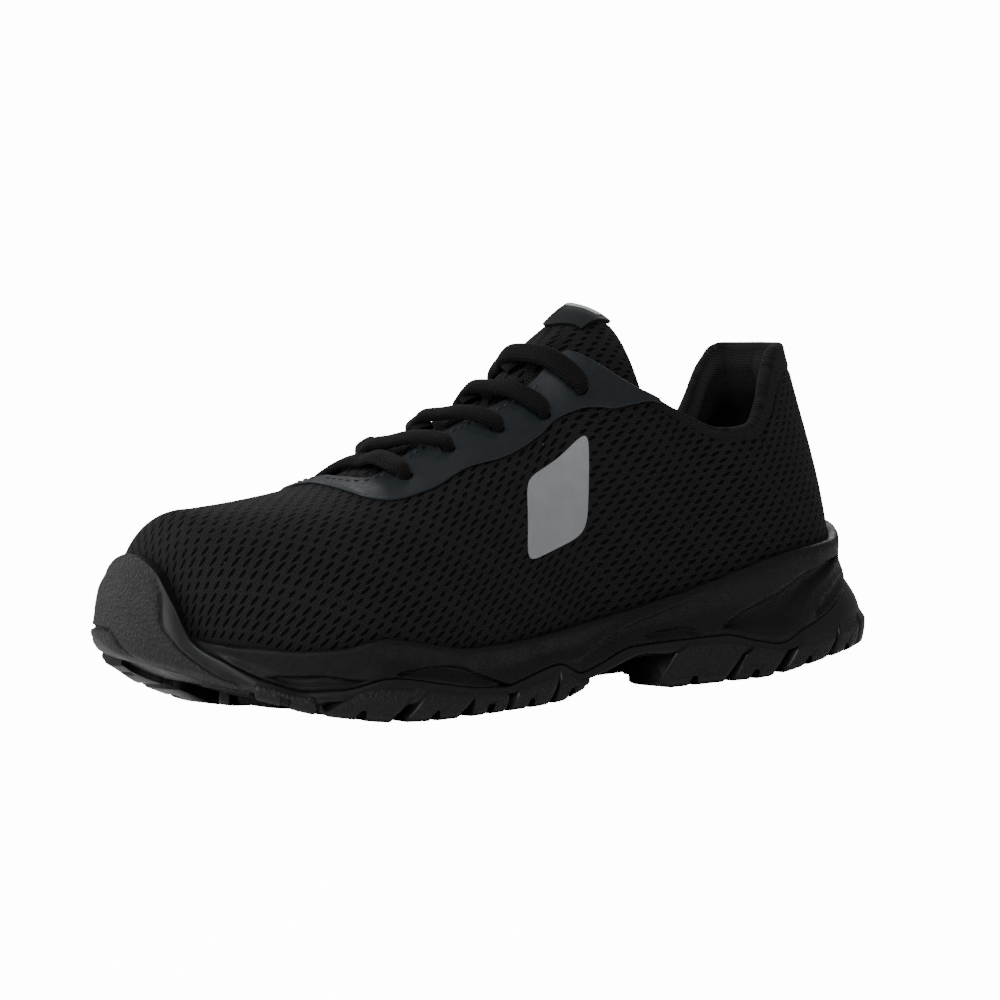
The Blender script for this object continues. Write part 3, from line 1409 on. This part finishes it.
def lace_path(start, end, start_side, turns, heights, reaches, dive_start):
    """One lace over the throat as a smooth path that dives into its eyelets."""
    u = np.linspace(0.0, 1.0, 85)
    place = start + (end - start) * u
    across = start_side * (reaches[0] * (1.0 - u) - reaches[1] * u)
    height = steady(turns, heights, u)
    bow = LACE_BOW * np.sin(np.pi * np.clip((u - 0.4) / 0.6, 0.0, 1.0))
    t = np.where(across >= 0.0, place, RING - place)
    v = share_at_distance(t, np.abs(across))
    path = on_upper(t, v, height + bow)
    up = upper_normal(t, v)
    depths = DIVE_STEP * np.arange(1.0, DIVE_STEPS + 1.0)[:, None]
    path = np.concatenate([path, path[-1] - depths * up[-1]])
    up = np.concatenate([up, np.repeat(up[-1:], DIVE_STEPS, axis=0)])
    if dive_start:
        path = np.concatenate([path[0] - depths[::-1] * up[0], path])
        up = np.concatenate([np.repeat(up[:1], DIVE_STEPS, axis=0), up])
    for _ in range(5):
        inside = 0.25 * path[:-2] + 0.5 * path[1:-1] + 0.25 * path[2:]
        path = np.concatenate([path[:1], inside, path[-1:]])
    length = cumulative(path)
    even = np.linspace(0.0, length[-1], 76)
    path = along_path(even, length, path)
    up = along_path(even, length, up)
    from_end = length[-1] - even
    if dive_start:
        from_end = np.minimum(from_end, even)
    pinch = smooth_step(2.0 * MM, 9.0 * MM, from_end)
    widths = LACE_WIDTH * (0.68 + 0.42 * pinch)
    thick = LACE_THICKNESS * (1.0 + 0.12 * (1.0 - pinch))
    return tube(path, np.cross(up, path[-1] - path[0]), widths, thick)


def lace_piece(name, straps, node):
    points = []
    faces = []
    places = []
    for strap_points, strap_faces, place in straps:
        add_shape(points, faces, strap_points, strap_faces)
        places += place.tolist()
    thing = make_object(name, points, faces, [LACE], smooth_angle=60.0)
    store(thing, "knit", places)
    finish_piece(thing, node, slot="lace_knit")


def make_laces():
    eyelets, reach = eyelet_places()
    under_edge = throat_half(eyelets) - CROSSING_INSET * LACE_WIDTH
    low = LACE_LOW + 0.5 * TONGUE_CROWN
    bar_high = LACE_HIGH + 0.5 * FIT_GAP
    bar_low = low + 0.1 * LACE_THICKNESS
    bar_end = bar_high - 1.6 * MM
    bar = lace_path(
        eyelets[0] + BAR_SHIFT, eyelets[0] + BAR_SHIFT, 1.0, BAR_TURNS,
        (bar_high, bar_high, bar_low, bar_low, bar_end), (reach[0], reach[0]), True,
    )
    lace_piece("lace_bar_knit", [bar], "lace_bar")
    for i in range(len(EYELETS) - 1):
        under = (low - MM, low, low, low + 0.6 * MM, LACE_HIGH, LACE_HIGH)
        crest = low + 0.85 * LACE_THICKNESS
        over = (low - MM, low, crest, crest - 0.10 * LACE_THICKNESS, LACE_HIGH, LACE_HIGH)
        straps = []
        for side_sign, heights in ((-1.0, over), (1.0, under)):
            straps.append(
                lace_path(
                    eyelets[i] - CROSSING_SHIFT, eyelets[i + 1], side_sign, CROSSING_TURNS,
                    heights, (under_edge[i], reach[i + 1]), False,
                )
            )
        lace_piece("lace_crossing_%d_knit" % (i + 1), straps, "lace_crossing_%d" % (i + 1))


# The midsole: hollows and the raised line of its side, by station and share of its height
Hollow = namedtuple("Hollow", "depth stations low high")
HOLLOWS = [
    Hollow(
        1.3 * MM,
        (7.90, 8.20, 8.50, 8.80, 9.08),
        (0.04, 0.03, 0.03, 0.05, 0.10),
        (0.06, 0.28, 0.42, 0.36, 0.12),
    ),
    Hollow(
        1.6 * MM,
        (5.90, 6.40, 6.71, 7.03, 7.34, 7.66),
        (-0.1, -0.1, -0.1, 0.0, 0.0, 0.04),
        (-0.08, 0.36, 0.58, 0.50, 0.30, 0.06),
    ),
    Hollow(
        1.2 * MM,
        (3.62, 3.80, 3.95, 4.15, 4.32),
        (0.02, 0.02, 0.04, 0.06, 0.10),
        (0.04, 0.24, 0.31, 0.29, 0.12),
    ),
    Hollow(
        2.4 * MM,
        (1.30, 1.91, 2.38, 2.66, 2.87, 3.18, 3.50),
        (0.60, 0.50, 0.36, 0.12, 0.06, 0.06, 0.08),
        (0.62, 0.72, 0.70, 0.65, 0.60, 0.44, 0.10),
    ),
    Hollow(
        1.2 * MM,
        (1.20, 1.60, 2.04, 2.40),
        (0.00, 0.00, 0.00, 0.04),
        (0.02, 0.30, 0.27, 0.06),
    ),
]
RIDGE_STATIONS = (3.60, 3.87, 4.10, 4.35, 4.54, 4.80, 5.04, 5.30)
RIDGE_SHARES = (0.93, 0.84, 0.77, 0.68, 0.57, 0.47, 0.30, 0.10)
RIDGE_HEIGHT = 1.0 * MM

# How far the side wall stands in between its low edge and its rim
WALL_SHARES = (0.0, 0.06, 0.45, 0.90, 1.0)
WALL_HOLLOW = (0.5 * MM, 0.0, 1.0 * MM, 0.0, 0.6 * MM)
WALL_ROWS = np.linspace(0.0, 1.0, 34)


def sculpt(t, share):
    """How far the midsole's side stands in at a place."""
    s = station(t)
    total = 0.0 * s
    for row in HOLLOWS:
        low = steady(row.stations, row.low, s)
        high = steady(row.stations, row.high, s)
        across = (share - low) / np.maximum(high - low, 0.02)
        inside = smooth_step(0.0, 0.55, across) * (1.0 - smooth_step(0.78, 1.0, across))
        ends = smooth_step(row.stations[0], row.stations[0] + 0.15, s)
        ends = ends * (1.0 - smooth_step(row.stations[-1] - 0.12, row.stations[-1], s))
        total = total + row.depth * inside * ends
    crest = steady(RIDGE_STATIONS, RIDGE_SHARES, s)
    off = share - crest
    on_ridge = smooth_step(3.5, 3.9, s) * (1.0 - smooth_step(5.0, 5.3, s))
    ridge = np.where(off > 0.0, 1.0 - smooth_step(0.0, 0.30, off), 1.0 - smooth_step(0.0, 0.10, -off))
    return total - RIDGE_HEIGHT * on_ridge * ridge


def midsole_lower(t):
    return band_low(t) + FIT_GAP


def midsole_step(t):
    return side("line_inset", t) * BALL_WIDTH + 0.3 * MM


def midsole_covered(t):
    return smooth_step(-6.0 * MM, -3.5 * MM, line_height(t) - rim_height(t))


def shoulder(t):
    """Height just above the outsole's band, or below the rim where the bumper covers it."""
    return np.minimum(line_height(t) + FIT_GAP, rim_height(t) - 1.6 * MM)


def midsole_wall(t, share):
    covered = midsole_covered(t)
    low = midsole_step(t) + covered * (midsole_lower(t) - midsole_step(t))
    high = np.maximum(side("rim_inset", t) * BALL_WIDTH, covered * midsole_lower(t))
    height = shoulder(t) + share * (rim_height(t) - shoulder(t))
    inward = (steady(WALL_SHARES, WALL_HOLLOW, share) + sculpt(t, share)) * (1.0 - covered)
    return outline(t, low + share * (high - low) + inward, height)


def cup_wall(t, height):
    share = share_at_height(t, height, -0.05, 0.60)
    flat = on_upper(t, share, FIT_GAP)
    flat[..., 2] = height
    return flat


def make_midsole():
    around = both_ways(stations_between(0.0, float(TOE), 1.3 * MM))
    floor = footbed_height(around)
    bottom = cup_height(around) + FIT_GAP
    lip = cup_wall(around, rim_height(around))
    rows = [
        outline(around, floor_edge(around) + FIT_GAP, bottom),
        outline(around, midsole_lower(around), bottom + curl_height(around)),
        outline(around, midsole_lower(around), shoulder(around)),
    ]
    rows += [midsole_wall(around, share + 0.0 * around) for share in WALL_ROWS]
    edge = rows[-1]
    for share in (0.33, 0.66):
        bow = edge + share * (lip - edge)
        bow[:, 2] += 0.35 * MM
        rows.append(bow)
    rows += [
        lip,
        cup_wall(around, floor + 0.5 * (rim_height(around) - floor)),
        cup_wall(around, floor),
    ]
    thing = ring_object("midsole_foam_shape", rows, around, [FOAM])
    share = np.concatenate([np.zeros(3), WALL_ROWS, np.ones(5)])
    tall = rim_height(around) - shoulder(around)
    store(thing, "lines", (share[:, None] * tall[None, :]).ravel())
    finish_piece(thing, "midsole", slot="midsole_foam")


# The outsole: the grained toe's border by height, and the line round the toe's insert
GRAIN_HEIGHTS = tuple(z * MM for z in (11.0, 15.2, 17.1, 21.6, 28.5, 36.0, 44.9, 50.0))
GRAIN_STATIONS = (9.34, 9.36, 9.51, 9.78, 10.09, 10.30, 10.33, 10.40)
INSERT_PLACES = (10.66, 10.71, 10.81, 11.00, 11.18, 11.62, 12.40)
INSERT_HEIGHTS = tuple(z * MM for z in (17.5, 20.4, 22.9, 27.8, 31.7, 32.3, 32.0))
PANEL_PROUD = 1.3 * MM
GROOVE = 1.1 * MM


def past_border(t, height):
    """How far a place lies past the grained toe panel's border, towards the toe."""
    return station(t) - steady(GRAIN_HEIGHTS, GRAIN_STATIONS, height)


def insert_line(t, height):
    """1 in the fine gap round the toe's insert."""
    line = steady(INSERT_PLACES, INSERT_HEIGHTS, t)
    slope = np.abs(steady(INSERT_PLACES, INSERT_HEIGHTS, t + 0.02) - line) / (0.02 * 20.0 * MM)
    off = np.abs(height - line) / np.sqrt(1.0 + slope**2)
    near = 1.0 - smooth_step(0.35 * MM, 0.95 * MM, off)
    return near * (t > INSERT_PLACES[0]) * (t < INSERT_PLACES[-1])


def outsole_profile(t):
    """Insets and heights of the outsole's outer side, from its underside up to its line."""
    base = base_height(t)
    top = line_height(t)
    tip = side("line_inset", t) * BALL_WIDTH
    foot = foot_inset(t)
    insets = np.stack([foot, 0.15 * foot, 0.35 * tip, tip, tip + 0.8 * MM])
    heights = np.stack([base, base + 0.4 * foot, base + 0.55 * (top - base), top - 0.7 * MM, top])
    return insets, heights


def blend_rows(knots, u):
    """A smooth row between knot rows at u, from 0 at the first to the count at the last."""
    last = len(knots) - 1
    i = min(int(u), last - 1)
    w = u - i
    before = knots[max(i - 1, 0)]
    after = knots[min(i + 2, last)]
    a, b = knots[i], knots[i + 1]
    return 0.5 * (
        2.0 * a
        + (b - before) * w
        + (2.0 * before - 5.0 * a + 4.0 * b - after) * w**2
        + (3.0 * a - before - 3.0 * b + after) * w**3
    )


def make_outsole():
    coarse = stations_between(0.0, 8.8, 1.5 * MM)
    fine = stations_between(8.8, float(TOE), 0.55 * MM)
    around = both_ways(np.concatenate([coarse, fine[1:]]))
    insets, heights = outsole_profile(around)
    rows = []
    grain = []
    lines = []
    steps = [np.linspace(0.0, 1.0, 9)[:-1], np.linspace(1.0, 3.0, 60)[:-1], np.linspace(3.0, 4.0, 5)]
    for u in np.concatenate(steps):
        inset = blend_rows(insets, u)
        height = blend_rows(heights, u)
        beyond = past_border(around, height)
        panel = smooth_step(-0.03, 0.03, beyond)
        gap = insert_line(around, height)
        fade = smooth_step(0.0, 0.6, u) * (1.0 - smooth_step(2.6, 3.0, u))
        rows.append(outline(around, inset - PANEL_PROUD * panel * fade + GROOVE * gap * fade, height))
        grain.append(panel)
        edge = 1.0 - smooth_step(0.0, 0.05, np.abs(beyond + 0.02))
        lines.append(np.maximum(gap, 0.6 * edge * fade))
    top = line_height(around)
    low = cup_height(around)
    covers = smooth_step(4.5 * MM, 9.0 * MM, top - rim_height(around))
    ledge = np.minimum(rim_height(around) + 2.0 * FIT_GAP, low + 0.65 * (top - low))
    above = ledge + 0.3 * (top - ledge) * (1.0 - 0.85 * covers)
    lip = top - 0.15 * np.minimum(top - low, 2.0 * MM)
    free = side("line_inset", around) * BALL_WIDTH + OUTSOLE_BAND
    for height in (lip, 0.5 * (above + lip), above):
        share = share_at_height(around, height, -0.05)
        point = on_upper(around, share, 2.0 * FIT_GAP)
        flat = outline(around, 0.0, 0.0)
        lean = np.einsum("...i,...i", (flat - point)[..., :2], outward(around))
        rows.append(outline(around, free + covers * (np.maximum(lean, free) - free), height))
    rows.append(outline(around, band_low(around), ledge))
    rows.append(outline(around, band_low(around), low + curl_height(around)))
    rows.append(outline(around, floor_edge(around), low))
    grain += [0.0 * around] * 6
    lines += [0.0 * around] * 6
    base = ring_object("outsole_rubber_shape", rows, around, [RUBBER])
    store(base, "grain", np.concatenate(grain))
    store(base, "line", np.concatenate(lines))
    finish_piece(base, "outsole", slot="outsole_rubber")
    make_lugs()


# The lugs: how far the tread's blocks are lifted at the toe and how grained they are,
# and the size of each side lug's notch and of its rounded edge
TOE_TREAD_LIFT = 2.0 * MM
BLOCK_GRAIN = 0.7
NOTCH_HALF = 1.7 * MM
NOTCH_HEIGHT = 3.0 * MM
NOTCH_DEPTH = 4.5 * MM
LUG_ROUND = 0.5 * MM

# A side lug's foot: its bevel's width and height, how far it stands in above the bevel, and
# the height at which its pad starts; and how far the lug's back stands in at its root
BEVEL_WIDTH = 2.0 * MM
BEVEL_HEIGHT = 1.0 * MM
FOOT_INSET = 0.2 * MM
PAD_START = 1.4 * MM
PAD_STEP = 0.3 * MM
PAD_BOW = 0.25 * MM
ROOT_INSET = 2.6 * MM


def lug_columns(row, half):
    """Ring places along a lug, whether each is in its notch, and how far each end is drawn in."""
    ends = np.array([row.back, row.front])
    length = cumulative(outline(ends, 0.0, 0.0))[-1]
    near = LUG_ROUND / length
    notch = min(NOTCH_HALF / length, 0.16)
    body = [0.0, near]
    body += np.linspace(near, 0.5 - notch, 6)[1:].tolist()
    middle = [0.5 - notch + 0.002, 0.5, 0.5 + notch - 0.002]
    u = np.array(body + middle + [1.0 - x for x in body[::-1]])
    in_notch = np.array([0] * len(body) + [1, 1, 1] + [0] * len(body), float)
    drawn = np.zeros(len(u))
    drawn[[0, -1]] = LUG_ROUND
    along = row.back + (row.front - row.back) * u
    if half < 0:
        return RING - along[::-1], in_notch[::-1], drawn[::-1], (u * length)[::-1], length
    return along, in_notch, drawn, u * length, length


def lug_shape(row, half):
    """Points, faces, grain and border lines of one side lug with its pad."""
    along, in_notch, drawn, run, length = lug_columns(row, half)
    high = along - half * row.lean
    ground = tread_height(along)
    base = base_height(along)
    top = line_height(high)
    tip = side("line_inset", high) * BALL_WIDTH
    reach = LUG_REACH * (1.0 - 0.6 * smooth_step(8.2, 9.0, station(along)))
    depth = in_notch * NOTCH_DEPTH
    notch_top = ground + PAD_START + in_notch * (NOTCH_HEIGHT - PAD_START)
    middle = 0.5 * (along + high)
    pad_low = base + 0.15 * (top - base)
    pad_high = base + 0.70 * (top - base)
    profile = [
        outline(along, reach - drawn, ground + drawn),
        outline(along, BEVEL_WIDTH + depth + drawn, ground + drawn),
        outline(along, FOOT_INSET + depth + drawn, ground + BEVEL_HEIGHT + drawn),
        outline(along, FOOT_INSET + depth + drawn, notch_top),
        outline(along, drawn, notch_top + PAD_STEP),
        outline(middle, drawn - LUG_PROUD, pad_low),
        outline(high, tip - 0.6 * LUG_PROUD + drawn, pad_high - drawn),
        outline(high, tip + 0.5 * OUTSOLE_BAND, base + 0.60 * (top - base)),
        outline(along, ROOT_INSET, base + 0.4 * OUTSOLE_BASE),
        outline(along, reach, base + 0.4 * OUTSOLE_BASE),
    ]
    rows = profile[:5]
    rows_share = [-1.0] * 5
    for a, b, start, end in ((4, 5, 0.0, 0.4), (5, 6, 0.4, 1.0)):
        for w in np.linspace(0.0, 1.0, 9)[1:]:
            bow = PAD_BOW * np.sin(np.pi * w)
            row_points = profile[a] + (profile[b] - profile[a]) * w
            row_points[:, :2] += outward(along) * bow
            rows.append(row_points)
            rows_share.append(start + (end - start) * w)
    rows += profile[7:]
    rows_share += [-1.0] * 3
    count = len(rows)
    columns = len(along)
    points = np.concatenate(rows)
    faces = []
    for i in range(columns - 1):
        for j in range(count):
            k = (j + 1) % count
            faces.append((j * columns + i, k * columns + i, k * columns + i + 1, j * columns + i + 1))
    faces.append(tuple(j * columns for j in range(count))[::-1])
    faces.append(tuple(j * columns + columns - 1 for j in range(count)))
    tall = pad_high - ground
    share = np.array(rows_share)[:, None] + 0.0 * run
    side_gap = np.minimum(run, length - run)[None, :] + 0.0 * share
    top_gap = (1.0 - share) * tall[None, :]
    gap = np.minimum(side_gap, top_gap)
    on_pad = (share > 0.0).astype(float)
    grain = on_pad * smooth_step(0.9 * MM, 1.4 * MM, gap)
    line = on_pad * (1.0 - smooth_step(0.25 * MM, 0.6 * MM, np.abs(gap - 1.1 * MM)))
    return points, faces, grain.ravel(), line.ravel()


def make_lugs():
    points = []
    faces = []
    grain = []
    line = []
    for row in LUGS:
        for half in (1, -1):
            new_points, new_faces, new_grain, new_line = lug_shape(row, half)
            add_shape(points, faces, new_points, new_faces)
            grain += new_grain.tolist()
            line += new_line.tolist()
    for row in BLOCKS:
        new_points, new_faces = tread_block(row)
        lift = TOE_TREAD_LIFT * smooth_step(0.80, 0.88, row.x)
        new_points = [(x, y, z + lift) for x, y, z in new_points]
        add_shape(points, faces, new_points, new_faces)
        grain += [BLOCK_GRAIN] * len(new_points)
        line += [0.0] * len(new_points)
    thing = make_object("outsole_lugs", points, faces, [RUBBER], smooth_angle=50.0)
    store(thing, "grain", grain)
    store(thing, "line", line)
    finish_piece(thing, slot="outsole_rubber")


def make_insole():
    around = both_ways(stations_between(0.0, float(TOE), 3.0 * MM))
    inset = column("inset", around) * BALL_WIDTH + UPPER_WALL + 3.0 * FIT_GAP
    floor = footbed_height(around) + FIT_GAP
    rows = [outline(around, inset, floor), outline(around, inset, floor + 0.7 * INSOLE_THICKNESS)]
    for k in range(1, 5):
        angle = 0.5 * np.pi * k / 4
        shift = 1.2 * MM * (1.0 - np.cos(angle))
        high = INSOLE_THICKNESS * (0.7 + 0.3 * np.sin(angle))
        rows.append(outline(around, inset + shift, floor + high))
    thing = ring_object("insole_board", rows, around, [LINING])
    store(thing, "knit", np.concatenate(rows))
    finish_piece(thing, "insole", slot="lining")


# The camera, as the photograph was taken: round from the toe's outer side, just above the floor
CAMERA_TURN = np.radians(38.0)
CAMERA_RISE = np.radians(3.882)
CAMERA_ROLL = np.radians(-1.660)
CAMERA_DISTANCE = 1.5
CAMERA_FOCUS = 4445.27
CAMERA_MIDDLE = (502.42, 529.34)
CAMERA_TARGET = np.array([150.0, 0.0, 55.0]) * MM
PICTURE = 1000.0


def make_camera():
    turn, rise, roll = CAMERA_TURN, CAMERA_RISE, CAMERA_ROLL
    back = np.array([np.sin(turn) * np.cos(rise), np.cos(turn) * np.cos(rise), np.sin(rise)])
    right = np.cross(-back, (0.0, 0.0, 1.0))
    right /= np.linalg.norm(right)
    up = np.cross(right, -back)
    rolled_right = np.cos(roll) * right + np.sin(roll) * up
    rolled_up = -np.sin(roll) * right + np.cos(roll) * up
    data = bpy.data.cameras.new("camera")
    data.sensor_width = 36.0
    data.lens = CAMERA_FOCUS / PICTURE * data.sensor_width
    data.shift_x = -(CAMERA_MIDDLE[0] - 0.5 * PICTURE) / PICTURE
    data.shift_y = (CAMERA_MIDDLE[1] - 0.5 * PICTURE) / PICTURE
    data.clip_start = 0.05
    camera = bpy.data.objects.new("camera", data)
    bpy.context.scene.collection.objects.link(camera)
    place = CAMERA_TARGET + back * CAMERA_DISTANCE - ORIGIN
    turned = Matrix([list(row) for row in np.stack([rolled_right, rolled_up, back], -1)]).to_4x4()
    camera.matrix_world = Matrix.Translation(Vector(place)) @ turned
    bpy.context.scene.camera = camera


# The lights' names, places and sizes in metres, and their power in watts
LIGHTS = [
    ("key", (0.9, 0.5, 1.2), (1.2, 0.8), 12.0),
    ("left", (1.4, -0.2, 0.5), (0.5, 1.0), 7.0),
    ("back", (-1.0, -0.8, 0.9), (0.8, 0.8), 5.5),
    ("inner", (0.7, -1.2, 0.8), (0.8, 0.8), 8.0),
]

# How bright the surroundings and the floor glow for the shoe, and for the camera
SKY_GLOW = (0.22, 14.0)
FLOOR_GLOW = (0.0, 13.5)
FLOOR_HALF = 30.0


def add_light(name, place, size, power):
    data = bpy.data.lights.new(name, "AREA")
    data.shape = "RECTANGLE"
    data.size, data.size_y = size
    data.energy = power
    light = bpy.data.objects.new(name, data)
    light.location = place
    light.rotation_mode = "QUATERNION"
    light.rotation_quaternion = Vector(place).to_track_quat("Z", "Y")
    bpy.context.scene.collection.objects.link(light)


def show_white(tree, brightness):
    """How much a surface of the backdrop glows where the camera sees it."""
    path = tree.nodes.new("ShaderNodeLightPath")
    glow = tree.nodes.new("ShaderNodeMapRange")
    tree.links.new(path.outputs["Is Camera Ray"], glow.inputs["Value"])
    glow.inputs["To Min"].default_value = brightness[0]
    glow.inputs["To Max"].default_value = brightness[1]
    return glow.outputs["Result"]


def make_studio():
    world = bpy.data.worlds.new("studio")
    world.use_nodes = True
    tree = world.node_tree
    background = tree.nodes["Background"]
    background.inputs["Color"].default_value = (1.0, 1.0, 1.0, 1.0)
    tree.links.new(show_white(tree, SKY_GLOW), background.inputs["Strength"])
    bpy.context.scene.world = world
    floor_surface = Surface("floor", (0.90, 0.90, 0.90), 0.9, 0.0)
    floor_surface.set("Emission Color", (1.0, 1.0, 1.0, 1.0))
    floor_surface.set("Emission Strength", show_white(floor_surface.tree, FLOOR_GLOW))
    ends = ((-1.0, -1.0), (1.0, -1.0), (1.0, 1.0), (-1.0, 1.0))
    corners = [(FLOOR_HALF * x, FLOOR_HALF * y, 0.0) for x, y in ends]
    mesh = bpy.data.meshes.new("floor")
    mesh.from_pydata(corners, [], [(0, 1, 2, 3)])
    mesh.materials.append(floor_surface.material)
    floor = bpy.data.objects.new("floor", mesh)
    bpy.context.scene.collection.objects.link(floor)
    for light in LIGHTS:
        add_light(*light)


make_camera()
make_studio()
make_outsole()
make_midsole()
make_insole()
make_upper()
make_tongue()
make_label()
make_eyestay()
make_patch()
make_stitches()
make_laces()
